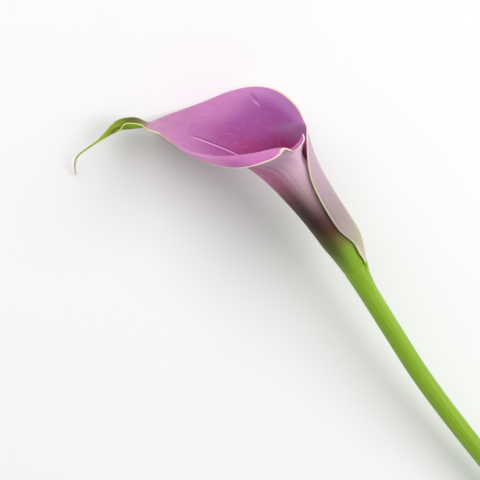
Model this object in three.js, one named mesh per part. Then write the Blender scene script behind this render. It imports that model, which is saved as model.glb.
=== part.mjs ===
import * as THREE from 'three';

// A calla lily flower, cut on its stem and lying on a surface.
// Millimetres, +Z up. The flower is drawn straight, with its foot at the origin, its axis
// along +Z and its tail towards +X. It is then bowed at the foot and laid down: it rests on
// the rolled-back far side of its rim and on the cut end of its stem.

// Driving sizes
const SHEET = 0.8;              // thickness of the spathe
const STEM_RADIUS = 4.65;
const STEM_LENGTH = 250;        // below the foot of the spathe
const SHOULDER_RADIUS = 6.0;    // where the spathe stands on the stem
const NECK_RADIUS = 3.9;        // stump of the stem inside the foot
const NECK_TOP = 3.0;
const SEAT_GAP = 0.3;           // between pieces that touch
const SPADIX_TOP = 50;
const OVARY_ZONE_TOP = 15;      // green, seed-bearing part of the spadix
const OVARY_ZONE_RADIUS = 4.3;
const POLLEN_ZONE_RADIUS = 3.5;
const OVARY_HEIGHT = 0.7;       // how far the ovaries and anthers stand out
const ANTHER_HEIGHT = 0.5;

// How the flower lies: turned about its axis, then tipped so that the rim and the stem's end
// both touch the surface. FOOT is where its foot ends up.
const ROLL = THREE.MathUtils.degToRad(55);
const PITCH = THREE.MathUtils.degToRad(5.1);
const FOOT = new THREE.Vector3(62.7, -27.7, 29.28);

// Stations of the spathe, from its foot along the midrib to the root of its tail.
// rib: reach from the axis and height of the midrib.
// near and far: where each margin is there, as the turn away from the midrib in degrees, the
// reach, the height, and how much the lip curls over before it.
// A turn past 180 wraps the sheet over itself: the far margin outside, the near one inside.
const STATIONS = [
  { rib: [5.6, -1], near: [200, 4.7, -1, 0], far: [203, 6.2, -1, 0] },
  { rib: [7.2, 6], near: [203, 6.2, 6, 0], far: [224, 8.0, 6, 0] },
  { rib: [8.6, 14], near: [205, 7.5, 14, 0], far: [229, 9.9, 14, 0] },
  { rib: [8.9, 24], near: [205, 8.0, 24, 0], far: [242, 10.5, 24, 0] },
  { rib: [9.5, 38], near: [205, 8.6, 38, 0], far: [239, 11.3, 38, 0] },
  { rib: [11.0, 52], near: [203, 9.4, 52, 0], far: [228, 12.5, 53, 0] },
  { rib: [13.1, 62], near: [198, 11.0, 63, 0], far: [208, 14.0, 63.5, 0] },
  { rib: [15.4, 69], near: [178, 13.9, 71.2, 0], far: [182, 15.8, 70.3, 0] },
  { rib: [18.3, 75.5], near: [150, 17.0, 70.6, 0.6], far: [146, 17.8, 72, 0] },
  { rib: [21.9, 81], near: [122, 17.5, 72.4, 1], far: [120, 24.2, 77.6, 0] },
  { rib: [25.6, 86], near: [100, 30, 78, 4.5], far: [92, 33.5, 87.4, 1] },
  { rib: [30.2, 92], near: [82, 35.3, 82.6, 5], far: [66, 38.4, 93.8, 2.2] },
  { rib: [35.4, 98], near: [58, 36.8, 90, 4], far: [43, 40.4, 97.6, 2.3] },
  { rib: [40.6, 103.8], near: [30, 38.2, 101.3, 1], far: [22, 43.8, 102.8, 2.2] },
  { rib: [44.4, 107.6], near: [13, 41.2, 106.9, 0], far: [11, 46.6, 106.6, 1.4] },
  { rib: [47.2, 110], near: [4.5, 47.2, 110, 0], far: [4.5, 47.2, 110, 0] },
];
const FLARE = 2.3;              // how late in each half of the sheet the reach changes
const LIFT = 1.8;               // and the height

// The tail, from its root to its tip: place; reach and fold of its far half; reach, bulge and
// fold of its near half, which rolls over itself at first.
const TAIL = [
  { at: [47.2, 0, 110], far: [3.7, 0], near: [3.7, 0, 0] },
  { at: [49.6, 2.0, 114.0], far: [3.3, 0.8], near: [2.2, 3.8, 2.4] },
  { at: [53.8, 4.8, 117.6], far: [2.7, 1.2], near: [1.2, 5.0, 2.6] },
  { at: [56.4, 6.1, 118.5], far: [2.4, 1.2], near: [2.9, 1.4, 1.2] },
  { at: [59.3, 7.4, 118.9], far: [1.6, 0.9], near: [2.3, 0, 0.7] },
  { at: [66.2, 9.7, 118.3], far: [0.5, 0.3], near: [0.6, 0, 0.2] },
  { at: [73.0, 11.4, 118.2], far: [0.42, 0.1], near: [0.42, 0, 0.1] },
  { at: [78.9, 12.9, 117.6], far: [0.4, 0], near: [0.4, 0, 0] },
  { at: [82.5, 13.4, 114.5], far: [0.38, 0], near: [0.38, 0, 0] },
  { at: [84.9, 13.3, 110.4], far: [0.35, 0], near: [0.35, 0, 0] },
];
const ROOT_FACE = new THREE.Vector3(-0.65, 0, 0.76);    // way the inner face looks at the root
const TAIL_FACE = new THREE.Vector3(-0.5, 0.5, 0.7);    // and along the tail

const MOUTH = 5;                          // station where the tube opens into the mouth
const LAST = STATIONS.length - 1;         // root of the tail
const NARROWS = LAST - 2.5;               // where the mouth closes towards the tail
const ROLL_END = LAST + 3;                // where the rolled near margin lies flat again
const THREAD = LAST + 5;                  // where the tail is a thread
const TIP = LAST + TAIL.length - 1;       // tip of the tail

// Catmull-Rom value through a list of equal-length number lists, at t = 0 .. length - 1.
function spline(rows, t) {
  const last = rows.length - 1;
  const i = Math.min(Math.floor(t), last - 1);
  const f = t - i;
  return rows[i].map((_, k) => {
    const b = rows[i][k];
    const c = rows[i + 1][k];
    const a = i > 0 ? rows[i - 1][k] : 2 * b - c;
    const d = i + 2 <= last ? rows[i + 2][k] : 2 * c - b;
    const curve = (3 * b - a - 3 * c + d) * f + 2 * a - 5 * b + 4 * c - d;
    return b + 0.5 * f * (c - a + f * curve);
  });
}

// Bow: below a height of 12 mm the flower steps off its axis and then leans away from it, and
// half way up the tube bends a little the same way.
const BOW_START = 12;
const BOW_STEP = 2.6;
const BOW_LENGTH = 16;
const BOW_LEAN = 0.035;
const BOW_WAY = THREE.MathUtils.degToRad(23);
const BEND = 0.9;
const BEND_HEIGHT = 52;
const BEND_LENGTH = 20;
function bow(p) {
  const below = Math.max(BOW_START - p.z, 0);
  const step = BOW_STEP * (1 - Math.exp(-((below / BOW_LENGTH) ** 2)));
  const bend = BEND * Math.exp(-(((p.z - BEND_HEIGHT) / BEND_LENGTH) ** 2));
  const shift = step + bend + BOW_LEAN * below;
  p.x += shift * Math.cos(BOW_WAY);
  p.y += shift * Math.sin(BOW_WAY);
  return p;
}

const up = new THREE.Vector3(-Math.sin(PITCH), 0, Math.cos(PITCH));
const side = new THREE.Vector3(0, 1, 0);
const tailWay = side.clone().multiplyScalar(Math.sin(ROLL)).addScaledVector(up, -Math.cos(ROLL));
const nearWay = side.clone().multiplyScalar(Math.cos(ROLL)).addScaledVector(up, Math.sin(ROLL));
const axisWay = new THREE.Vector3(Math.cos(PITCH), 0, Math.sin(PITCH));
const LAY = new THREE.Matrix4().makeBasis(tailWay, nearWay, axisWay).setPosition(FOOT);

// Further down, the lying stem sweeps aside along the surface.
const SWEEP_START = -60;
const SWEEP = 0.13;
const SWEEP_LENGTH = 60;
function place(p) {
  const past = Math.max(SWEEP_START - p.z, 0);
  const aside = SWEEP * past ** 2 / (past + SWEEP_LENGTH);
  return bow(p).applyMatrix4(LAY).addScaledVector(side, -aside);
}

// Middle of the sheet in the open flower: t runs up the stations, w goes from the far margin,
// -1, over the midrib, 0, to the near margin, 1.
const RIB_ROWS = STATIONS.map((s) => s.rib);
const NEAR_ROWS = STATIONS.map((s) => s.near);
const FAR_ROWS = STATIONS.map((s) => s.far);
function bloomPoint(t, w) {
  const [ribReach, ribHeight] = spline(RIB_ROWS, t);
  const [turn, reach, height, curl] = spline(w > 0 ? NEAR_ROWS : FAR_ROWS, t);
  const u = Math.abs(w);
  const angle = THREE.MathUtils.degToRad(turn) * w;
  const r = ribReach + (reach - ribReach) * u ** FLARE;
  const z = ribHeight + (height - ribHeight) * u ** LIFT + 4 * curl * u ** 4 * (1 - u ** 4);
  return new THREE.Vector3(r * Math.cos(angle), r * Math.sin(angle), z);
}

// Middle of the sheet in the tail: a channel that narrows to a thread.
const TAIL_LINE = TAIL.map((s) => s.at);
const TAIL_SHAPE = TAIL.map((s) => [...s.far, ...s.near]);
function tailPoint(t, w) {
  const step = 0.02;
  const end = TAIL.length - 1;
  const middle = new THREE.Vector3(...spline(TAIL_LINE, t));
  const before = new THREE.Vector3(...spline(TAIL_LINE, Math.max(t - step, 0)));
  const after = new THREE.Vector3(...spline(TAIL_LINE, Math.min(t + step, end)));
  const along = after.sub(before).normalize();
  const face = ROOT_FACE.clone().lerp(TAIL_FACE, THREE.MathUtils.smoothstep(t, 0, 1.5));
  face.addScaledVector(along, -face.dot(along)).normalize();
  const across = face.clone().cross(along);
  across.lerp(side, 1 - THREE.MathUtils.smoothstep(t, 0, 1)).normalize();
  const [farReach, farFold, nearReach, bulge, nearFold] = spline(TAIL_SHAPE, t);
  const reach = w > 0 ? nearReach * w + 2 * bulge * w * (1 - w) : farReach * w;
  const fold = (w > 0 ? nearFold : farFold) * w * w;
  return middle.addScaledVector(across, reach).addScaledVector(face, fold);
}

// The whole sheet, laid down: the lowest stretch of the rim is pressed flat on the surface.
function sheetPoint(t, w) {
  const p = place(t <= LAST ? bloomPoint(t, w) : tailPoint(t - LAST, w));
  p.z = Math.max(p.z, SHEET / 2);
  return p;
}

function sheetNormal(t, w) {
  const step = 0.01;
  const wLow = sheetPoint(t, Math.max(w - step, -1));
  const wHigh = sheetPoint(t, Math.min(w + step, 1));
  const tLow = sheetPoint(Math.max(t - step, 0), w);
  const tHigh = sheetPoint(Math.min(t + step, TIP), w);
  return wHigh.sub(wLow).cross(tHigh.sub(tLow)).normalize();
}

function solid(points, triangles) {
  const geometry = new THREE.BufferGeometry();
  geometry.setAttribute('position', new THREE.Float32BufferAttribute(points.flatMap((p) => p.toArray()), 3));
  geometry.setIndex(triangles.flat());
  geometry.computeVertexNormals();
  return geometry;
}

// Triangles between two rows of vertex numbers, which may differ in length.
function zip(lower, upper) {
  const triangles = [];
  let i = 0;
  let j = 0;
  while (i < lower.length - 1 || j < upper.length - 1) {
    const nextLower = (i + 1) / (lower.length - 1);
    const nextUpper = (j + 1) / (upper.length - 1);
    if (nextLower <= nextUpper + 1e-9) {
      triangles.push([lower[i], lower[i + 1], upper[j]]);
      i += 1;
    } else {
      triangles.push([lower[i], upper[j + 1], upper[j]]);
      j += 1;
    }
  }
  return triangles;
}

// The sheet as a closed solid: an outer and an inner face split alike, joined at the margins.
function sheetSolid() {
  const outer = [];
  const inner = [];
  const rows = [];
  for (const t of sheetRows()) {
    const columns = sheetColumns(t);
    const row = [];
    for (let k = 0; k <= columns; k += 1) {
      const w = 2 * k / columns - 1;
      const middle = sheetPoint(t, w);
      const half = sheetNormal(t, w).multiplyScalar(SHEET / 2);
      row.push(outer.length);
      outer.push(middle.clone().add(half));
      inner.push(middle.sub(half));
    }
    rows.push(row);
  }
  outer.forEach((p) => { p.z = Math.max(p.z, 0); });
  const back = outer.length;
  const triangles = [];
  const strip = (a, b) => triangles.push([a, b, b + back], [a, b + back, a + back]);
  for (let i = 0; i < rows.length - 1; i += 1) {
    for (const [a, b, c] of zip(rows[i], rows[i + 1])) {
      triangles.push([a, b, c], [a + back, c + back, b + back]);
    }
    strip(rows[i][0], rows[i + 1][0]);
    strip(rows[i + 1].at(-1), rows[i].at(-1));
  }
  const foot = rows[0];
  const tip = rows.at(-1);
  for (let k = 0; k < foot.length - 1; k += 1) strip(foot[k + 1], foot[k]);
  for (let k = 0; k < tip.length - 1; k += 1) strip(tip[k], tip[k + 1]);
  return solid([...outer, ...inner], triangles);
}

// Rows of the mesh: few up the tube and along the tail, more in the open mouth and the roll.
function sheetRows() {
  const rows = [];
  for (let station = 0; station < TIP; station += 1) {
    const steps = station >= MOUTH && station < ROLL_END ? 3 : 2;
    for (let k = 0; k < steps; k += 1) rows.push(station + k / steps);
  }
  rows.push(TIP);
  return rows;
}

// Columns of the mesh in a row: fewer as the sheet narrows.
function sheetColumns(t) {
  if (t < NARROWS) return 36;
  if (t < ROLL_END) return 24;
  return t < THREAD ? 8 : 4;
}

// A closed body through rings of equally many points, its ends closed by fans.
function loft(rings) {
  const count = rings[0].length;
  const points = rings.flat();
  const triangles = [];
  for (let i = 0; i < rings.length - 1; i += 1) {
    for (let k = 0; k < count; k += 1) {
      const a = i * count + k;
      const b = i * count + (k + 1) % count;
      triangles.push([a, b, b + count], [a, b + count, a + count]);
    }
  }
  const middle = (ring) => ring.reduce((sum, p) => sum.add(p), new THREE.Vector3()).divideScalar(count);
  const low = points.length;
  points.push(middle(rings[0]), middle(rings.at(-1)));
  const top = (rings.length - 1) * count;
  for (let k = 0; k < count; k += 1) {
    const next = (k + 1) % count;
    triangles.push([low, next, k], [low + 1, top + k, top + next]);
  }
  return solid(points, triangles);
}

// A ring about the axis; radius may depend on the angle.
function ring(height, count, radius) {
  return Array.from({ length: count }, (_, k) => {
    const angle = 2 * Math.PI * k / count;
    const r = typeof radius === 'function' ? radius(angle) : radius;
    return place(new THREE.Vector3(r * Math.cos(angle), r * Math.sin(angle), height));
  });
}

function stem() {
  const shoulder = -1 - SEAT_GAP - SHEET / 4;
  const straight = 26;
  const lengths = 11;
  const shaft = Array.from({ length: lengths + 1 }, (_, k) => {
    const part = k / lengths;
    return [-STEM_LENGTH * (1 - part) - straight * part, STEM_RADIUS];
  });
  const profile = [
    ...shaft,
    [-16, STEM_RADIUS + 0.15],
    [-9, STEM_RADIUS + 0.7],
    [-4.5, SHOULDER_RADIUS - 0.3],
    [shoulder, SHOULDER_RADIUS],
    [shoulder, NECK_RADIUS],
    [NECK_TOP, NECK_RADIUS - 0.3],
  ];
  return loft(profile.map(([height, radius]) => ring(height, 24, radius)));
}

// Florets packed on the spadix: rows of rounded bumps, each row half a floret round from the
// last, raised from a core that follows the given outline.
function florets({ bottom, top, rows, around, height, core }) {
  const perRow = 3;
  const perFloret = 3;
  const rings = [];
  for (let i = 0; i <= rows * perRow; i += 1) {
    const z = bottom + (top - bottom) * i / (rows * perRow);
    const row = i / perRow - 0.5;
    const alongRow = Math.cos(Math.PI * row) ** 2;
    const turn = Math.round(row) % 2 === 0 ? 0 : Math.PI / 2;
    const bump = (angle) => height * alongRow * Math.cos(angle * around / 2 + turn) ** 2;
    rings.push(ring(z, around * perFloret, (angle) => core(z) + bump(angle)));
  }
  return loft(rings);
}

function ovaryZone() {
  return florets({
    bottom: NECK_TOP + SEAT_GAP,
    top: OVARY_ZONE_TOP,
    rows: 5,
    around: 8,
    height: OVARY_HEIGHT,
    core: () => OVARY_ZONE_RADIUS - OVARY_HEIGHT,
  });
}

function pollenZone() {
  const bottom = OVARY_ZONE_TOP + SEAT_GAP;
  return florets({
    bottom,
    top: SPADIX_TOP,
    rows: 18,
    around: 10,
    height: ANTHER_HEIGHT,
    core: (z) => {
      const rise = (z - bottom) / (SPADIX_TOP - bottom);
      const taper = 1 - 0.3 * rise;
      const roundTip = Math.sqrt(1.04 - rise ** 8);
      return (POLLEN_ZONE_RADIUS - ANTHER_HEIGHT) * taper * roundTip;
    },
  });
}

function piece(name, geometry, color, roughness) {
  const material = new THREE.MeshStandardMaterial({ color, roughness, metalness: 0 });
  const mesh = new THREE.Mesh(geometry, material);
  mesh.name = name;
  return mesh;
}

const flower = new THREE.Group();
flower.add(
  piece('stem', stem(), 0x8fbf35, 0.45),
  piece('spathe', sheetSolid(), 0xb26cab, 0.5),
  piece('spadix_ovary_zone', ovaryZone(), 0xa9b96a, 0.6),
  piece('spadix_pollen_zone', pollenZone(), 0xe3cf8f, 0.8),
);

export default flower;
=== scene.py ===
import math

import bpy
import numpy as np
from mathutils import Euler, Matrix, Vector


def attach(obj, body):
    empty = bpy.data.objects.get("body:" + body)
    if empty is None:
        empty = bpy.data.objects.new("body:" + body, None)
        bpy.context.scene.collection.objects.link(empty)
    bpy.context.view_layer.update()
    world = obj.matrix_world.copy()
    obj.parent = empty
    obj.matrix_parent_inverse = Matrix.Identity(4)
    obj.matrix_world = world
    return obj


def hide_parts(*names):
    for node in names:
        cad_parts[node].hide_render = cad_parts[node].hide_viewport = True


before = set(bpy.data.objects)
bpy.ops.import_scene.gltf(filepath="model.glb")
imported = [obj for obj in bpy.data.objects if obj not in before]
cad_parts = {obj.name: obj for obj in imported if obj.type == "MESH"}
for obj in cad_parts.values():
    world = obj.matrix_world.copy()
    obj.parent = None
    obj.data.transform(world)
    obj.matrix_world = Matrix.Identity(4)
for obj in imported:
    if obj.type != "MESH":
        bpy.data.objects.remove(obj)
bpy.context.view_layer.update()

# A cut calla lily lying on its rim: the rolled spathe with its tail, the spadix in its tube
# and the stem. The flower is drawn straight, in millimetres, with its foot at the origin, its
# axis along +Z and its tail towards +X, then bowed at the foot and laid down where the CAD
# model has it. Meshes are in metres.
MM = 0.001

# Sizes that the CAD model was built from
SHEET = 0.8
STEM_RADIUS = 4.65
STEM_LENGTH = 250
NECK_RADIUS = 3.9
NECK_TOP = 3.0
SEAT_GAP = 0.3
OVARY_ZONE_TOP = 15
OVARY_ZONE_RADIUS = 4.3
OVARY_HEIGHT = 0.7
SPADIX_TOP = 50
POLLEN_ZONE_RADIUS = 3.5
ANTHER_HEIGHT = 0.5
ROLL = math.radians(55)
PITCH = math.radians(5.1)
FOOT = np.array([62.7, -27.7, 29.28])

# Stations of the spathe from its foot to the root of its tail: the midrib's reach and height,
# then for the near and the far margin the turn from the midrib, reach, height and curl. Round
# its peak, the near lip's reach and curl differ a little from the CAD model's.
STATIONS = [
    ((5.6, -1), (200, 4.7, -1, 0), (203, 6.2, -1, 0)),
    ((7.2, 6), (203, 6.2, 6, 0), (224, 8.0, 6, 0)),
    ((8.6, 14), (205, 7.5, 14, 0), (229, 9.9, 14, 0)),
    ((8.9, 24), (205, 8.0, 24, 0), (242, 10.5, 24, 0)),
    ((9.5, 38), (205, 8.6, 38, 0), (239, 11.3, 38, 0)),
    ((11.0, 52), (203, 9.4, 52, 0), (228, 12.5, 53, 0)),
    ((13.1, 62), (198, 11.0, 63, 0), (208, 14.0, 63.5, 0)),
    ((15.4, 69), (178, 13.9, 71.2, 0), (182, 15.8, 70.3, 0)),
    ((18.3, 75.5), (150, 17.0, 70.6, 0.5), (146, 17.8, 72, 0)),
    ((21.9, 81), (122, 18.3, 72.4, 1.8), (120, 24.2, 77.6, 0)),
    ((25.6, 86), (100, 30, 78, 4.5), (92, 33.5, 87.4, 1)),
    ((30.2, 92), (82, 35.3, 82.6, 5), (66, 38.4, 93.8, 2.2)),
    ((35.4, 98), (58, 36.8, 90, 4), (43, 40.4, 97.6, 2.3)),
    ((40.6, 103.8), (30, 38.2, 101.3, 1), (22, 43.8, 102.8, 2.2)),
    ((44.4, 107.6), (13, 41.2, 106.9, 0), (11, 46.6, 106.6, 1.4)),
    ((47.2, 110), (4.5, 47.2, 110, 0), (4.5, 47.2, 110, 0)),
]
FLARE = 2.3         # how late in each half of the sheet the reach changes
LIFT = 1.8          # and the height

# The tail from its root to its tip: place; reach and fold of its far half; reach, bulge and
# fold of its near half, which rolls over itself at first.
TAIL = [
    ((47.2, 0, 110), (3.7, 0), (3.7, 0, 0)),
    ((49.6, 2.0, 114.0), (3.3, 0.8), (2.2, 3.8, 2.4)),
    ((53.8, 4.8, 117.6), (2.7, 1.2), (1.2, 5.0, 2.6)),
    ((56.4, 6.1, 118.5), (2.4, 1.2), (2.9, 1.4, 1.2)),
    ((59.3, 7.4, 118.9), (1.6, 0.9), (2.3, 0, 0.7)),
    ((66.2, 9.7, 118.3), (0.5, 0.3), (0.6, 0, 0.2)),
    ((73.0, 11.4, 118.2), (0.42, 0.1), (0.42, 0, 0.1)),
    ((78.9, 12.9, 117.6), (0.4, 0), (0.4, 0, 0)),
    ((82.5, 13.4, 114.5), (0.38, 0), (0.38, 0, 0)),
    ((84.9, 13.3, 110.4), (0.35, 0), (0.35, 0, 0)),
]
ROOT_FACE = np.array([-0.65, 0, 0.76])      # way the inner face looks at the root
TAIL_FACE = np.array([-0.5, 0.5, 0.7])      # and along the tail
MOUTH = 5                                   # station where the tube opens into the mouth
LAST = len(STATIONS) - 1                    # root of the tail
ROLL_END = LAST + 3                         # where the rolled near margin lies flat again
TIP = LAST + len(TAIL) - 1                  # tip of the tail

# How the straight flower is bowed, and where it lies. Below BOW_START the axis steps aside and
# leans on, round BEND_HEIGHT it bends a little, and below SWEEP_START the lying stem sweeps
# along the surface.
BOW_START = 12
BOW_STEP = 2.6
BOW_LENGTH = 16
BOW_LEAN = 0.035
BOW_WAY = math.radians(23)
BEND = 0.9
BEND_HEIGHT = 52
BEND_LENGTH = 20
SWEEP_START = -60
SWEEP = 0.13
SWEEP_LENGTH = 60
UP = np.array([-math.sin(PITCH), 0, math.cos(PITCH)])
SIDE = np.array([0, 1, 0])
LAY = np.array([
    SIDE * math.sin(ROLL) - UP * math.cos(ROLL),
    SIDE * math.cos(ROLL) + UP * math.sin(ROLL),
    [math.cos(PITCH), 0, math.sin(PITCH)],
])

# Finer form than the CAD model has
NOTCH = 9.25                    # station of the peak in the near lip
NOTCH_WIDTHS = (0.25, 0.4)      # how wide it is below and above that station
NOTCH_RISE = 1.6
RIPPLE = 0.22                   # waves of the margin
LIP_THICKNESS = 0.68
FULLER = 0.14                   # how much thicker each half of the sheet is away from the lip
THINNEST = 0.6
VEINS = 14                      # raised veins in each half of the sheet
VEIN_HEIGHT = 0.05
MIDRIB_RIDGE = (0.22, 0.4)      # height and half width of the midrib on the inner face
KEEL = (0.5, 2.2)               # and on the outer face

# Local forms of the margin: station, half width in stations and size
LIP_SAG = (8.7, 0.35, 0.9)      # sag of the near lip before its peak
GAP = (6.05, 0.55, 1.8)         # inner layer drawn back from the flap by the lip's end
TEAR = (0.9, 0.7, 0.7)          # corner of the flap that has torn loose at the foot
GAP_ONSET = (0.55, 0.8)         # where across the near half the gap sets in
LIP_ONSET = 3                   # the lip's shape grows with this power of the way to the margin
TEAR_ONSET = 24                 # and so does the tear

# Short marks on the far wall: station, half length in stations, distance from the midrib,
# slant and half width
CREASE = (9.97, 0.35, -37.6, -6.6, 0.9)     # soft crease at the top
CREASE_DEPTH = 0.3
SCUFF = (9.72, 0.24, -34.8, -3.95, 0.42)    # pale rubbed line beside it

# How closely the sheet is drawn
ROWS_PER_STATION = ((MOUTH, 8), (LAST, 14), (ROLL_END, 10), (TIP, 5))   # up to each station
NOTCH_ROWS = 24                 # round the peak of the lip
HALF_COLUMNS = 90
MARGIN_CROWDING = (8, 0.012)    # extra columns at the margin, and how much of the half they take
MIDRIB_CROWDING = (4, 0.015)
ROUNDING = 0.3                  # evens out the bend where the tail leaves the bloom, in stations
SHARP = math.radians(60)        # an edge that turns more than this stays sharp


def place(points):
    """Bows points of the straight flower and lays them down."""
    z = points[..., 2:]
    below = np.maximum(BOW_START - z, 0)
    step = BOW_STEP * (1 - np.exp(-((below / BOW_LENGTH) ** 2)))
    bend = BEND * np.exp(-(((z - BEND_HEIGHT) / BEND_LENGTH) ** 2))
    way = np.array([math.cos(BOW_WAY), math.sin(BOW_WAY), 0])
    past = np.maximum(SWEEP_START - z, 0)
    aside = SWEEP * past ** 2 / (past + SWEEP_LENGTH)
    return (points + (step + bend + BOW_LEAN * below) * way) @ LAY + FOOT - aside * SIDE


def smoothstep(x, low, high):
    s = np.clip((x - low) / (high - low), 0, 1)
    return s * s * (3 - 2 * s)


def hump(x, middle, half_width):
    return np.exp(-(((x - middle) / half_width) ** 2))


def unit(vectors):
    return vectors / np.linalg.norm(vectors, axis=-1, keepdims=True)


def spline(rows, t):
    """Catmull-Rom values through equally spaced rows of numbers, at each t."""
    rows = np.array(rows, float)
    padded = np.vstack([2 * rows[0] - rows[1], rows, 2 * rows[-1] - rows[-2]])
    i = np.clip(np.floor(t).astype(int), 0, len(rows) - 2)
    f = (t - i)[..., None]
    a, b, c, d = (padded[i + k] for k in range(4))
    curve = (3 * b - a - 3 * c + d) * f + 2 * a - 5 * b + 4 * c - d
    return b + 0.5 * f * (c - a + f * curve)


# The sheet of the spathe: t runs up the stations and on along the tail, w goes from the far
# margin, -1, over the midrib, 0, to the near margin, 1.
def bloom_point(t, w):
    rib_reach, rib_height = np.moveaxis(spline([s[0] for s in STATIONS], t), -1, 0)
    near = spline([s[1] for s in STATIONS], t)
    far = spline([s[2] for s in STATIONS], t)
    margin = np.where((w > 0)[..., None], near, far)
    turn, reach, height, curl = np.moveaxis(margin, -1, 0)
    u = abs(w)
    angle = np.radians(turn) * w
    r = rib_reach + (reach - rib_reach) * u ** FLARE
    # The curl stands up in full a little way in from the margin, and dies out at it.
    z = rib_height + (height - rib_height) * u ** LIFT + 4 * curl * u ** 4 * (1 - u ** 4)
    z += np.where(w > 0, lip_shape(t) * u ** LIP_ONSET, 0) + margin_waves(t, w)
    r -= GAP[2] * hump(t, *GAP[:2]) * smoothstep(w, *GAP_ONSET)
    r += np.where(w < 0, TEAR[2] * hump(t, *TEAR[:2]) * u ** TEAR_ONSET, 0)
    return np.stack([r * np.cos(angle), r * np.sin(angle), z], -1)


def lip_shape(t):
    """The near lip stands up in a peak, and sags between the peak and its end."""
    width = np.where(t < NOTCH, *NOTCH_WIDTHS)
    return NOTCH_RISE * hump(t, NOTCH, width) - LIP_SAG[2] * hump(t, *LIP_SAG[:2])


def margin_waves(t, w):
    """Slight waves of the open rim, which no real margin lacks."""
    wave = np.sin(2.1 * t + 0.8 * np.sign(w)) + 0.6 * np.sin(4.7 * t + 2)
    return RIPPLE * wave * abs(w) ** 8 * smoothstep(t, MOUTH, MOUTH + 3) * smoothstep(LAST - t, 0, 2)


def tail_point(t, w):
    line = [s[0] for s in TAIL]
    step = 0.02
    middle = spline(line, t)
    along = unit(spline(line, np.minimum(t + step, len(TAIL) - 1)) - spline(line, np.maximum(t - step, 0)))
    face = ROOT_FACE + (TAIL_FACE - ROOT_FACE) * smoothstep(t, 0, 1.5)[..., None]
    face = unit(face - (face * along).sum(-1, keepdims=True) * along)
    across = np.cross(face, along)
    across = unit(SIDE + (across - SIDE) * smoothstep(t, 0, 1)[..., None])
    shape = np.moveaxis(spline([s[1] + s[2] for s in TAIL], t), -1, 0)
    far_reach, far_fold, near_reach, bulge, near_fold = shape
    reach = np.where(w > 0, near_reach * w + 2 * bulge * w * (1 - w), far_reach * w)
    fold = np.where(w > 0, near_fold, far_fold) * w * w
    return middle + across * reach[..., None] + face * fold[..., None]


def sheet_line(t, w):
    """Middle of the sheet in the straight flower."""
    bloom = bloom_point(np.minimum(t, LAST), w)
    tail = tail_point(np.maximum(t - LAST, 0), w)
    return np.where((t <= LAST)[..., None], bloom, tail)


def sheet_middle(t, w):
    """Middle of the sheet where it lies, its lowest stretch pressed flat on the surface."""
    reach = ROUNDING * smoothstep(t, LAST - 2, LAST - 0.5)
    reach = np.minimum(reach, TIP - t)
    line = (sheet_line(t - reach, w) + 2 * sheet_line(t, w) + sheet_line(t + reach, w)) / 4
    placed = place(line)
    placed[..., 2] = np.maximum(placed[..., 2], SHEET / 2)
    return placed


def sheet_normal(t, w):
    step = 0.01
    across = sheet_middle(t, np.minimum(w + step, 1)) - sheet_middle(t, np.maximum(w - step, -1))
    along = sheet_middle(np.minimum(t + step, TIP), w) - sheet_middle(np.maximum(t - step, 0), w)
    return unit(np.cross(across, along))


def sheet_rows():
    """Rows of the sheet's mesh: closest at the lip's notch, few along the tail's thread."""
    rows = []
    for station in range(TIP):
        steps = next(steps for end, steps in ROWS_PER_STATION if station < end)
        if abs(station + 0.5 - NOTCH) < 1:
            steps = NOTCH_ROWS
        rows += [station + k / steps for k in range(steps)]
    return np.array(rows + [TIP])


def sheet_columns(t):
    """For each row, the columns' w and their distances from the margin and the midrib in mm."""
    u = np.linspace(0, 1, 241)
    sides = []
    for sign in (-1, 1):
        tt, ww = np.meshgrid(t, sign * u, indexing="ij")
        steps = np.linalg.norm(np.diff(sheet_line(tt, ww), axis=1), axis=-1)
        run = np.hstack([np.zeros((len(t), 1)), np.cumsum(steps, axis=1)])
        half = run[:, -1:]
        s = run / half
        # Running count of the columns from the midrib out, before it is scaled
        count = s + sum(a * b * part for (a, b), part in (
            (MIDRIB_CROWDING, 1 - np.exp(-s / MIDRIB_CROWDING[1])),
            (MARGIN_CROWDING, np.exp((s - 1) / MARGIN_CROWDING[1]))))
        count -= count[:, :1]
        share = np.linspace(0, 1, HALF_COLUMNS + 1)
        w = np.array([np.interp(share * c[-1], c, u) for c in count])
        rib = np.array([np.interp(share * c[-1], c, r) for c, r in zip(count, run)])
        sides.append((sign * w, half - rib, sign * rib))
    return [np.hstack([far[:, ::-1], near[:, 1:]]) for far, near in zip(*sides)]


def mesh_piece(name, points, faces, materials, replaces):
    mesh = bpy.data.meshes.new(name)
    mesh.from_pydata((points * MM).tolist(), [], faces)
    mesh.validate()
    for material in materials:
        mesh.materials.append(material)
    mesh.polygons.foreach_set("use_smooth", [True] * len(mesh.polygons))
    mesh.set_sharp_from_angle(angle=SHARP)
    piece = bpy.data.objects.new(name, mesh)
    bpy.context.scene.collection.objects.link(piece)
    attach(piece, "root")
    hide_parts(replaces)
    return piece


def keep_measure(piece, name, values):
    """Stores a measure at every vertex, for the materials to read."""
    layer = piece.data.attributes.new(name, "FLOAT", "POINT")
    layer.data.foreach_set("value", np.asarray(values, np.float32).ravel())


def grid_faces(number, flip=False, closed=False):
    """Quads over a grid of vertex numbers."""
    if closed:
        number = np.hstack([number, number[:, :1]])
    a, b, c, d = number[:-1, :-1], number[:-1, 1:], number[1:, 1:], number[1:, :-1]
    quads = np.stack([a, d, c, b] if flip else [a, b, c, d], -1)
    return quads.reshape(-1, 4).tolist()


# Materials
def linear(code):
    """An sRGB hex colour as linear RGBA."""
    parts = [int(code[k:k + 2], 16) / 255 for k in (1, 3, 5)]
    return [p / 12.92 if p <= 0.04045 else ((p + 0.055) / 1.055) ** 2.4 for p in parts] + [1]


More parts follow.
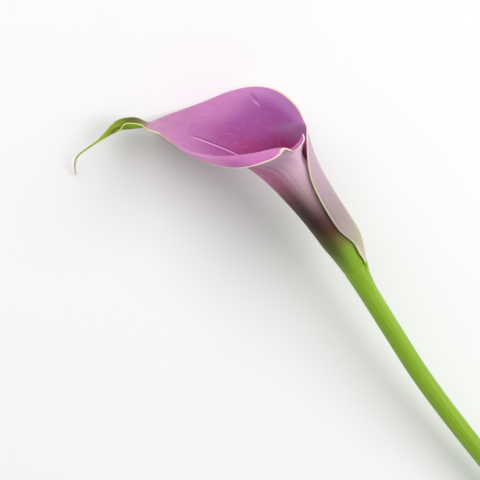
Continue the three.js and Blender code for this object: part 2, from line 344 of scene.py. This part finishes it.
def add(tree, kind, inputs=None, stops=None, **settings):
    """Adds a node with its settings. An input is a value, a node, or a node and its output."""
    node = tree.nodes.new("ShaderNode" + kind)
    for name, value in settings.items():
        setattr(node, name, value)
    for k, (position, colour) in enumerate(stops or []):
        elements = node.color_ramp.elements
        stop = elements[k] if k < 2 else elements.new(position)
        stop.position = position
        stop.color = linear(colour)
    for name, value in (inputs or {}).items():
        socket = next(s for s in node.inputs if s.enabled and name in (s.identifier, s.name))
        if isinstance(value, tuple) and isinstance(value[0], bpy.types.Node):
            tree.links.new(value[0].outputs[value[1]], socket)
        elif isinstance(value, bpy.types.Node):
            tree.links.new(next(o for o in value.outputs if o.enabled), socket)
        else:
            socket.default_value = value
    return node


def new_material(name):
    material = bpy.data.materials.new(name)
    material.use_nodes = True
    tree = material.node_tree
    tree.nodes.clear()
    return material, tree


def finish_material(tree, inputs):
    shader = add(tree, "BsdfPrincipled", inputs)
    add(tree, "OutputMaterial", {"Surface": shader})


def colours_along(tree, name, stops):
    """A colour for each value of a stored measure, from stops given in the measure's unit."""
    low, high = stops[0][0], stops[-1][0]
    measure = add(tree, "Attribute", attribute_name=name)
    part = add(tree, "MapRange", {"Value": (measure, "Fac"), "From Min": low, "From Max": high})
    shares = [((value - low) / (high - low), colour) for value, colour in stops]
    return add(tree, "ValToRGB", {"Fac": part}, stops=shares)


def both(tree, first, second):
    """A cover where two covers meet."""
    return add(tree, "Math", {"Value": first, "Value_001": second}, operation="MULTIPLY")


def cover(tree, most, *limits):
    """Rises to the given most where each stored measure goes from its first to its second limit."""
    factor = None
    for name, low, high in limits:
        measure = add(tree, "Attribute", attribute_name=name)
        step = add(tree, "MapRange", {
            "Value": (measure, "Fac"), "From Min": low, "From Max": high,
            "To Max": 1.0 if factor else most}, interpolation_type="SMOOTHSTEP")
        factor = both(tree, factor, step) if factor else step
    return factor


def paint(tree, ground, coats):
    """Lays coats over a ground colour. A coat is a colour or a node, and where it covers."""
    for coat, factor in coats:
        colour = linear(coat) if isinstance(coat, str) else coat
        inputs = {"Factor_Float": factor, "A_Color": ground, "B_Color": colour}
        ground = add(tree, "Mix", inputs, data_type="RGBA")
    return ground


def petal_streaks(tree, per_half, per_station, low, high, most):
    """Streaks that follow the veins, narrow across the petal and long along it, as a cover."""
    across = add(tree, "Attribute", attribute_name="across")
    along = add(tree, "Attribute", attribute_name="along")
    x = add(tree, "Math", {"Value": (across, "Fac"), "Value_001": per_half}, operation="MULTIPLY")
    y = add(tree, "Math", {"Value": (along, "Fac"), "Value_001": per_station}, operation="MULTIPLY")
    spot = add(tree, "CombineXYZ", {"X": x, "Y": y})
    noise = add(tree, "TexNoise", {"Vector": spot, "Scale": 1.0, "Detail": 3.0, "Roughness": 0.55})
    return add(tree, "MapRange", {"Value": noise, "From Min": low, "From Max": high, "To Max": most},
               interpolation_type="SMOOTHSTEP")


def petal_patches(tree, size, low, high, most):
    """Soft patches of about the given size in millimetres, as a cover."""
    rib = add(tree, "Attribute", attribute_name="rib")
    height = add(tree, "Attribute", attribute_name="height")
    spot = add(tree, "CombineXYZ", {"X": (rib, "Fac"), "Y": (height, "Fac")})
    noise = add(tree, "TexNoise", {"Vector": spot, "Scale": 1 / size, "Detail": 2.0})
    return add(tree, "MapRange", {"Value": noise, "From Min": low, "From Max": high, "To Max": most},
               interpolation_type="SMOOTHSTEP")


def margin_colour(tree):
    """The petal's bloodless edge: greenish by the foot, cream round the mouth, yellow on the tail."""
    return colours_along(tree, "along", [
        (0, "#D9D6A8"), (1.2, "#D6CDB4"), (2.4, "#C9BDBE"), (3.4, "#C7BBB8"), (3.9, "#C9CF9E"),
        (4.7, "#D0D9A0"), (5.4, "#DDDCC0"), (6.5, "#EEDDD0"), (9.5, "#EDDDC2"), (12, "#ECDDB8"),
        (14, "#ECDDB4"), (15, "#E6E29A"), (19, "#D3DC62"), (24, "#DDD3A2")])


def margin_cover(tree):
    """The pale edge: 0.6 mm wide, more on the far rim and the lip's end, less on the tail."""
    edges = [
        cover(tree, 1.0, ("edge", 0.8, 0.5), ("along", 15.4, 14.9)),
        cover(tree, 0.95, ("edge", 1.3, 0.9), ("across", -0.3, -0.6),
              ("along", 6.4, 7.2), ("along", 11, 9.5)),
        cover(tree, 1.0, ("edge", 1.6, 1.1), ("across", 0.3, 0.6),
              ("along", 7.0, 7.4), ("along", 9.7, 9.4)),
        cover(tree, 0.95, ("edge", 0.6, 0.3), ("across", 0.0, 0.5),
              ("along", 14.9, 15.4), ("along", 19, 18))]
    most = edges[0]
    for edge in edges[1:]:
        most = add(tree, "Math", {"Value": most, "Value_001": edge}, operation="MAXIMUM")
    return most


def fine_grain(tree, size, detail):
    """Even grain of about the given size in millimetres."""
    space = add(tree, "TexCoord")
    inputs = {"Vector": (space, "Object"), "Scale": 1 / (size * MM), "Detail": detail}
    return add(tree, "TexNoise", inputs)


# Skin cells are about 0.05 mm, and pollen grains 0.04 mm. Both are drawn ten times coarser, so
# that they show.
SKIN_GRAIN = 0.5
POLLEN_GRAIN = 0.4
VESSEL_SPACING = 1.0            # of the vessel bundles in the stem
RELIEF = 0.3 * MM               # height that a bump of strength 1 stands for


def petal_bump(tree, strength):
    """Fine veins and the grain of the skin, in relief."""
    veins = petal_streaks(tree, 55, 0.25, 0.2, 0.8, 1.0)
    grain = fine_grain(tree, SKIN_GRAIN, 2.0)
    inputs = {"Value": grain, "Value_001": 0.25, "Value_002": veins}
    relief = add(tree, "Math", inputs, operation="MULTIPLY_ADD")
    return add(tree, "Bump", {"Strength": strength, "Distance": RELIEF, "Height": relief})


def petal_inside():
    """Inner skin of a coloured calla: soft, velvety, darker down the throat."""
    material, tree = new_material("calla_petal_inner_skin")
    bloom = colours_along(tree, "height", [
        (40, "#9E347C"), (66, "#AE3A7C"), (76, "#A73F84"), (86, "#A34E92"), (92, "#B0669F"),
        (98, "#BA76A9"), (105, "#BC80AA"), (112, "#C59BB0")])
    tail = colours_along(tree, "along", [
        (15, "#AE8690"), (15.5, "#84774A"), (16, "#6A6A30"), (16.5, "#62681E"), (17.3, "#84942A"),
        (18.5, "#98AC22"), (20.3, "#A2B420"), (22, "#A8AC44"), (22.8, "#BCAA88"), (24, "#D6CABA")])
    coloured = paint(tree, bloom, [
        # Paler towards the rim, and painted light on the end of the near lip where it turns under into shade
        ("#C074B6", cover(tree, 0.85, ("edge", 13, 5), ("height", 97, 88))),
        ("#C474B0", cover(tree, 0.9, ("across", 0.78, 0.9), ("height", 97, 88))),
        ("#B8509C", cover(tree, 0.6, ("across", 0.5, 0.7), ("along", 6.8, 7.2), ("along", 9.6, 9.2))),
        # Blotches and streaks
        ("#92509C", petal_patches(tree, 14, 0.5, 0.8, 0.25)),
        ("#8C4290", petal_patches(tree, 3.5, 0.5, 0.75, 0.2)),
        ("#D79CCB", petal_patches(tree, 2.3, 0.52, 0.75, 0.16)),
        ("#8E3C80", petal_streaks(tree, 24, 0.35, 0.55, 0.75, 0.22)),
        # Far wall, bluer in the middle, with painted light low on its side where it lies in shade, and
        # lighter along its rim
        ("#9A50A2", cover(tree, 0.55, ("across", -0.2, -0.5), ("along", 6.5, 8), ("along", 10.5, 9.5))),
        ("#B884B8", cover(tree, 0.9, ("across", -0.4, -0.68), ("along", 5.6, 6.4), ("along", 8.4, 7.2))),
        ("#D08CC4", cover(tree, 0.45, ("across", -0.3, -0.7), ("along", 9.2, 10.6), ("along", 12.2, 11))),
        ("#BE86BE", cover(tree, 0.6, ("edge", 11, 3), ("across", -0.3, -0.6),
                          ("along", 5.6, 6.6), ("along", 11, 10))),
        # Painted shade along the crease, and the pale rubbed line of the scuff
        ("#7C3A86", cover(tree, 0.45, ("crease", 0.1, 0.9))),
        ("#D9C0E2", cover(tree, 0.6, ("scuff", 0.2, 0.8))),
        # Painted light on the near lip where it rolls over into shade
        ("#E6A8D4", cover(tree, 0.7, ("across", 0.78, 0.93), ("along", 11.1, 11.9), ("along", 13.6, 12.6))),
        # Midrib: a pale line, with painted shade as a dark line on its far side
        ("#7E2E74", cover(tree, 0.6, ("rib", -3.5, -1.2), ("rib", 0.4, -0.4),
                          ("along", 7.4, 8.4), ("along", 12, 11))),
        ("#F0BEDC", cover(tree, 0.9, ("rib", -0.65, -0.2), ("rib", 0.65, 0.2),
                          ("along", 7.2, 8.2), ("along", 11.8, 11))),
        # Tail, darker on its near half, and the pale edge
        (tail, cover(tree, 1.0, ("along", 14.5, 15.2))),
        ("#5E5A14", cover(tree, 0.85, ("across", -0.15, 0.2), ("along", 16, 17), ("along", 19.8, 18.8))),
        (margin_colour(tree), margin_cover(tree))])
    finish_material(tree, {
        "Base Color": coloured, "Roughness": 0.5, "IOR": 1.42, "Specular IOR Level": 0.35,
        "Subsurface Weight": 0.5, "Subsurface Radius": (1.0, 0.35, 0.6), "Subsurface Scale": 0.0012,
        "Sheen Weight": 0.06, "Sheen Roughness": 0.4, "Normal": petal_bump(tree, 0.3)})
    return material


def petal_outside():
    """Outer skin: smooth and faintly waxy, pale lilac with finer veins, brown and green by the stem."""
    material, tree = new_material("calla_petal_outer_skin")
    # The lighter band round 61 mm is painted light, against the shade where the sheet is drawn back by the
    # gap
    bloom = colours_along(tree, "height", [
        (-1, "#8CB626"), (5, "#8EB62C"), (9, "#90B436"), (13, "#8EA63E"), (18, "#7E7A3A"), (25, "#644030"),
        (33, "#6E4D4E"), (42, "#A28286"), (52, "#C8A8B2"), (61, "#DAB7CA"), (70, "#C69FB8"), (80, "#C49CB6"),
        (112, "#B9A090")])
    # The tube's side away from the light: its own brown with painted shade
    shade = colours_along(tree, "height", [
        (-1, "#86AC24"), (8, "#6C8826"), (14, "#56621A"), (21, "#50491A"), (30, "#30180E"), (46, "#4A1F1E"),
        (55, "#9A5666"), (64, "#C86E9A"), (76, "#CC7AA8")])
    flap = colours_along(tree, "height", [
        (-1, "#C9C7A0"), (10, "#BBB298"), (22, "#B2A29A"), (32, "#AC9A9C"), (42, "#B6A0A9"), (52, "#C3A7B7"),
        (64, "#CBADBD"), (80, "#CDB0C2")])
    tail = colours_along(tree, "along", [
        (15, "#9AA060"), (15.6, "#88AA2E"), (17, "#729222"), (18.5, "#8CA424"), (20.3, "#A2B420"),
        (22, "#A8AC44"), (22.8, "#BCAA88"), (24, "#D6CABA")])
    dark_streaks = petal_streaks(tree, 28, 0.2, 0.5, 0.7, 0.22)
    pink_streaks = petal_streaks(tree, 80, 0.15, 0.52, 0.66, 0.38)
    pale_streaks = petal_streaks(tree, 60, 0.18, 0.52, 0.7, 0.2)
    coloured = paint(tree, bloom, [
        # Darker along the tube's side away from the light, partly its own brown and partly painted shade,
        # and the paler flap
        (shade, cover(tree, 0.95, ("across", 0.54, 0.33), ("across", -0.4, 0.0))),
        (flap, cover(tree, 0.95, ("across", -0.52, -0.66))),
        # Streaks from the foot up
        ("#6C4455", both(tree, dark_streaks, cover(tree, 1.0, ("height", 14, 28)))),
        ("#9C5C8C", both(tree, pink_streaks, cover(tree, 1.0, ("height", 34, 50)))),
        ("#E6D6E0", both(tree, pale_streaks, cover(tree, 1.0, ("height", 36, 52)))),
        # Inner layer beside the flap: a pale coat as painted light where it is drawn back into shade, then
        # dark magenta as painted shade down in the gap
        ("#EBC9DC", cover(tree, 0.8, ("across", 0.62, 0.72), ("along", 5.0, 5.6), ("along", 7.2, 6.7))),
        ("#8C2464", cover(tree, 0.95, ("across", 0.77, 0.81), ("along", 5.5, 5.8), ("along", 6.6, 6.3))),
        # Green midrib and tail, the dry torn corner and the pale edge
        ("#8AA04A", cover(tree, 0.8, ("rib", -5, -1), ("rib", 5, 1))),
        (tail, cover(tree, 1.0, ("along", 13.6, 15.2))),
        ("#D6CDB4", cover(tree, 0.9, ("edge", 2.2, 1.2), ("along", 1.9, 1.3), ("across", 0.0, -0.1))),
        (margin_colour(tree), margin_cover(tree))])
    finish_material(tree, {
        "Base Color": coloured, "Roughness": 0.48, "IOR": 1.42, "Specular IOR Level": 0.25,
        "Subsurface Weight": 0.5, "Subsurface Radius": (1.0, 0.5, 0.5), "Subsurface Scale": 0.0012,
        "Sheen Weight": 0.05, "Sheen Roughness": 0.4, "Normal": petal_bump(tree, 0.35)})
    return material


def stem_skin():
    """Fresh stem: smooth, waxy and bright green, with fine lengthwise lines."""
    material, tree = new_material("fresh_stem_skin")
    around = add(tree, "Attribute", attribute_name="around")
    height = add(tree, "Attribute", attribute_name="height")
    # The lines are about 0.6 mm apart and run on for some 50 mm.
    x = add(tree, "Math", {"Value": (around, "Fac"), "Value_001": 1.6}, operation="MULTIPLY")
    y = add(tree, "Math", {"Value": (height, "Fac"), "Value_001": 0.02}, operation="MULTIPLY")
    spot = add(tree, "CombineXYZ", {"X": x, "Y": y})
    lines = add(tree, "TexNoise", {"Vector": spot, "Scale": 1.0, "Detail": 3.0})
    colour = add(tree, "ValToRGB", {"Fac": lines}, stops=[(0.3, "#7CA41C"), (0.7, "#99BE34")])
    finish_material(tree, {
        "Base Color": colour, "Roughness": 0.4, "IOR": 1.4, "Specular IOR Level": 0.35,
        "Subsurface Weight": 0.1, "Subsurface Radius": (0.6, 1.0, 0.2), "Subsurface Scale": 0.002,
        "Normal": add(tree, "Bump", {"Strength": 0.25, "Distance": RELIEF, "Height": lines})})
    return material


def cut_tissue():
    """Clean cut through the stem: pale moist pith with the dots of its vessels."""
    material, tree = new_material("cut_stem_tissue")
    space = add(tree, "TexCoord")
    inputs = {"Vector": (space, "Object"), "Scale": 1 / (VESSEL_SPACING * MM)}
    dots = add(tree, "TexVoronoi", inputs)
    colour = add(tree, "ValToRGB", {"Fac": dots}, stops=[(0.16, "#8FA75A"), (0.3, "#D5DFA8")])
    finish_material(tree, {
        "Base Color": colour, "Roughness": 0.25, "IOR": 1.4, "Subsurface Weight": 0.2,
        "Subsurface Radius": (0.8, 1.0, 0.4), "Subsurface Scale": 0.002})
    return material


def floret_skin(name, groove, side, top, roughness):
    """Florets: painted shade in the grooves between them, lightest on top, with a dusty grain."""
    material, tree = new_material(name)
    rise = add(tree, "Attribute", attribute_name="rise")
    stops = [(0.0, groove), (0.55, side), (1.0, top)]
    colour = add(tree, "ValToRGB", {"Fac": (rise, "Fac")}, stops=stops)
    grains = fine_grain(tree, POLLEN_GRAIN, 3.0)
    bump = add(tree, "Bump", {"Strength": 0.5, "Distance": 0.2 * MM, "Height": grains})
    inputs = {"Base Color": colour, "Roughness": roughness, "IOR": 1.45, "Normal": bump}
    finish_material(tree, inputs)
    return material


# Pieces
def sheet_half(t, edge):
    """Half the sheet's thickness: round at the margin, fuller inwards, thin along the tail."""
    lip = LIP_THICKNESS / 2
    body = lip + FULLER * smoothstep(edge, 2, 16)
    round_edge = np.sqrt(1 - (1 - np.minimum(edge / lip, 1)) ** 2)
    thread = spline([s[1] for s in TAIL], np.maximum(t - LAST, 0))[..., 0]
    return np.minimum(body, np.maximum(thread * 0.9, THINNEST / 2)) * round_edge


def vein_relief(t, w, edge):
    """Raised veins, a little unevenly spaced, that die out towards the margin and the tail."""
    turn = math.pi * (VEINS * w + 0.25 * np.sin(9 * w + 0.3 * t) + 0.15 * np.sin(23 * w))
    strength = 0.7 + 0.3 * np.sin(5 * w + 0.4 * t)
    return VEIN_HEIGHT * strength * np.cos(turn) ** 2 * smoothstep(edge, 1, 8) * smoothstep(LAST - t, 0, 2)


def mark(t, rib, station, half_length, distance, slant, half_width):
    """A short line that fades out all round, 1 in its middle."""
    off_line = rib - distance - slant * (t - station)
    return hump(off_line, 0, half_width) * hump(t, station, half_length)


def make_spathe():
    rows = sheet_rows()
    w, edge, rib = sheet_columns(rows)
    t = np.repeat(rows[:, None], w.shape[1], axis=1)
    middle = sheet_middle(t, w)
    normal = sheet_normal(t, w)
    half = sheet_half(t, edge)
    veins = vein_relief(t, w, edge)
    keel = KEEL[0] * hump(rib, 0, KEEL[1]) * smoothstep(LAST - t, 0, 4)
    ridge = MIDRIB_RIDGE[0] * hump(rib, 0, MIDRIB_RIDGE[1])
    ridge *= smoothstep(t, 8, 9) * smoothstep(LAST - t, 0.5, 2)
    crease = mark(t, rib, *CREASE)
    middle = middle + normal * (CREASE_DEPTH * crease)[..., None]
    outer = middle + normal * (half + veins + keel)[..., None]
    inner = middle - normal * (half - veins + ridge)[..., None]
    outer[..., 2] = np.maximum(outer[..., 2], 0)
    inner[..., 2] = np.maximum(inner[..., 2], 0.02)

    # The two faces share their vertices along both margins.
    outer_number = np.arange(t.size).reshape(t.shape)
    inner_number = outer_number + t.size
    inner_number[:, [0, -1]] = outer_number[:, [0, -1]]
    used, renumber = np.unique(np.stack([outer_number, inner_number]), return_inverse=True)
    outer_number, inner_number = renumber.reshape(2, *t.shape)
    skins = [grid_faces(outer_number), grid_faces(inner_number, flip=True)]
    foot = grid_faces(np.stack([inner_number[0], outer_number[0]]))
    tip = grid_faces(np.stack([outer_number[-1], inner_number[-1]]))
    rims = [list(dict.fromkeys(face)) for face in foot + tip]
    points = np.vstack([outer.reshape(-1, 3), inner.reshape(-1, 3)])[used]
    piece = mesh_piece("spathe_skin", points, skins[0] + skins[1] + rims,
                       [petal_outside(), petal_inside()], "spathe")
    index = [0] * len(skins[0]) + [1] * len(skins[1]) + [0] * len(rims)
    piece.data.polygons.foreach_set("material_index", index)
    height = sheet_line(t, w)[..., 2]
    measures = {"across": w, "along": t, "edge": edge, "rib": rib, "height": height,
                "crease": crease, "scuff": mark(t, rib, *SCUFF)}
    for name, values in measures.items():
        keep_measure(piece, name, np.tile(values.ravel(), 2)[used])
    return piece


def lathe(name, heights, radius, around, materials, replaces):
    """A closed body round the axis. radius gives the reach for heights and angles."""
    z, angle = np.meshgrid(heights, np.arange(around) * 2 * math.pi / around, indexing="ij")
    r = radius(z, angle)
    points = place(np.stack([r * np.cos(angle), r * np.sin(angle), z], -1))
    number = np.arange(z.size).reshape(z.shape)
    ends = place(np.array([[0.0, 0, heights[0]], [0, 0, heights[-1]]]))
    faces = grid_faces(number, closed=True)
    low, high = z.size, z.size + 1
    first, last = number[0], number[-1]
    caps = [[low, first[(k + 1) % around], first[k]] for k in range(around)]
    caps += [[high, last[k], last[(k + 1) % around]] for k in range(around)]
    points = np.vstack([points.reshape(-1, 3), ends])
    piece = mesh_piece(name, points, faces + caps, materials, replaces)
    keep_measure(piece, "around", np.append((angle * r).ravel(), [0, 0]))
    keep_measure(piece, "height", np.append(z.ravel(), heights[[0, -1]]))
    return piece, z, angle


SHOULDER = -1.05        # top of the stem's shoulder, just under the spathe's foot
SHOULDER_REACH = 0.1    # how far it stands out past the foot
STEM_RIBS = 14
STEM_RIB_HEIGHT = 0.05
NECK_BEVEL = 0.3


def foot_reach(angle):
    """Reach of the stem's shoulder: a little past the spathe's outer face at its foot."""
    (rib, _), (near_turn, near, _, _), (far_turn, far, _, _) = STATIONS[0]
    turn = np.degrees(angle)
    near_layer = rib + (near - rib) * (turn / near_turn) ** FLARE
    far_layer = rib + (far - rib) * ((360 - turn) / far_turn) ** FLARE
    outside = np.where(360 - turn < far_turn, far_layer, near_layer)
    return outside + SHEET / 2 + SHOULDER_REACH


def make_stem():
    straight = [(z, STEM_RADIUS) for z in (-STEM_LENGTH, -200, -150, -100, -60, -36)]
    swelling = [(-24, STEM_RADIUS + 0.03), (-16, 4.8), (-9, 5.3), (-4.5, 5.75), (SHOULDER, 6.1)]
    profile = straight + swelling
    heights, radii = spline(profile, np.linspace(0, len(profile) - 1, 161)).T
    heights = np.concatenate([heights, [SHOULDER, NECK_TOP]])
    radii = np.concatenate([radii, [NECK_RADIUS, NECK_RADIUS - NECK_BEVEL]])
    around = 96

    def reach(z, angle):
        swell = smoothstep(z, -7, SHOULDER) * (radii[:, None] > NECK_RADIUS + 0.5)
        ribs = STEM_RIB_HEIGHT * np.cos(STEM_RIBS * angle + 0.4 * np.sin(z / 30)) * smoothstep(-z, 5, 30)
        return radii[:, None] + (foot_reach(angle) - radii[:, None]) * swell + ribs

    materials = [stem_skin(), cut_tissue()]
    piece, z, angle = lathe("stem_skin", heights, reach, around, materials, "stem")
    # The first cap is the cut end.
    index = np.zeros(len(piece.data.polygons), int)
    index[-2 * around:-around] = 1
    piece.data.polygons.foreach_set("material_index", index)
    return piece


FLORET_STEPS = (12, 10)     # steps of the mesh up and across a floret


def make_florets(name, bottom, top, rows, around, height, core, material, replaces):
    """A zone of the spadix: rows of domed florets, each row staggered against the next."""
    up, across = FLORET_STEPS
    heights = np.linspace(bottom, top, rows * up + 1)

    def dome(z, angle):
        row = (z - bottom) / (top - bottom) * rows - 0.5
        turn = np.where(np.round(row) % 2 == 0, 0, math.pi / 2)
        x = np.cos(angle * around / 2 + turn) ** 2
        y = np.cos(math.pi * row) ** 2
        return np.sqrt(np.clip(x * y, 0, 1)) ** 0.8

    def reach(z, angle):
        return core(z) + height * dome(z, angle)

    piece, z, angle = lathe(name, heights, reach, around * across, [material], replaces)
    keep_measure(piece, "rise", np.append(dome(z, angle).ravel(), [0, 0]))
    return piece


def make_spadix():
    bottom = OVARY_ZONE_TOP + SEAT_GAP      # of the pollen zone

    def ovary_core(z):
        return OVARY_ZONE_RADIUS - OVARY_HEIGHT + 0 * z

    def pollen_core(z):
        rise = (z - bottom) / (SPADIX_TOP - bottom)
        return (POLLEN_ZONE_RADIUS - ANTHER_HEIGHT) * (1 - 0.3 * rise) * np.sqrt(1.04 - rise ** 8)

    ovary_skin = floret_skin("green_ovary_skin", "#6E7F35", "#A9B96A", "#DDE0B4", 0.4)
    make_florets("ovary_florets", NECK_TOP + SEAT_GAP, OVARY_ZONE_TOP, rows=5, around=8,
                 height=OVARY_HEIGHT, core=ovary_core, material=ovary_skin,
                 replaces="spadix_ovary_zone")
    anthers = floret_skin("pollen_dusted_anthers", "#A8843C", "#E3CF8F", "#F6ECC4", 0.85)
    make_florets("pollen_florets", bottom, SPADIX_TOP, rows=18, around=10,
                 height=ANTHER_HEIGHT, core=pollen_core, material=anthers,
                 replaces="spadix_pollen_zone")


# Studio
FLOWER_MIDDLE = (0.10, 0.0, 0.03)
FLOOR_REACH = 3.0
CAMERA_PLACE = (0.29003, 0.13086, 0.60892)
CAMERA_TURN = (-6.614, -19.454, -127.417)       # degrees


def make_floor():
    """Matt white paper, without gloss, so that only soft shadows show on it."""
    reach = FLOOR_REACH
    corners = [(-reach, -reach, 0), (reach, -reach, 0), (reach, reach, 0), (-reach, reach, 0)]
    mesh = bpy.data.meshes.new("floor")
    mesh.from_pydata(corners, [], [(0, 1, 2, 3)])
    floor = bpy.data.objects.new("floor", mesh)
    bpy.context.scene.collection.objects.link(floor)
    material, tree = new_material("matt_white_paper")
    finish_material(tree, {"Base Color": linear("#F4F4F4"), "Roughness": 0.9})
    mesh.materials.append(material)


def soft_light(name, direction, distance, size, power):
    light = bpy.data.lights.new(name, "AREA")
    light.shape = "DISK"
    light.size = size
    light.energy = power
    lamp = bpy.data.objects.new(name, light)
    bpy.context.scene.collection.objects.link(lamp)
    way = Vector(direction).normalized()
    lamp.location = Vector(FLOWER_MIDDLE) + way * distance
    lamp.rotation_mode = "QUATERNION"
    lamp.rotation_quaternion = way.to_track_quat("Z", "Y")


def make_studio():
    world = bpy.data.worlds.new("studio")
    world.use_nodes = True
    world.node_tree.nodes.clear()
    sky = add(world.node_tree, "Background", {"Color": linear("#FFFFFF"), "Strength": 0.42})
    add(world.node_tree, "OutputWorld", {"Surface": sky})
    bpy.context.scene.world = world
    soft_light("key", direction=(-0.26, -0.60, 0.74), distance=2.0, size=1.9, power=25.5)
    soft_light("fill", direction=(0.85, -0.05, 0.53), distance=2.0, size=2.2, power=24)
    bpy.context.scene.view_settings.view_transform = "Standard"


def make_camera():
    """Looks down on the lying flower from where the photograph was taken."""
    camera = bpy.data.cameras.new("camera")
    camera.lens = 100
    camera.sensor_width = 36
    camera.clip_start = 0.01
    holder = bpy.data.objects.new("camera", camera)
    bpy.context.scene.collection.objects.link(holder)
    holder.location = CAMERA_PLACE
    holder.rotation_euler = Euler([math.radians(a) for a in CAMERA_TURN])
    bpy.context.scene.camera = holder


make_spathe()
make_stem()
make_spadix()
make_floor()
make_studio()
make_camera()
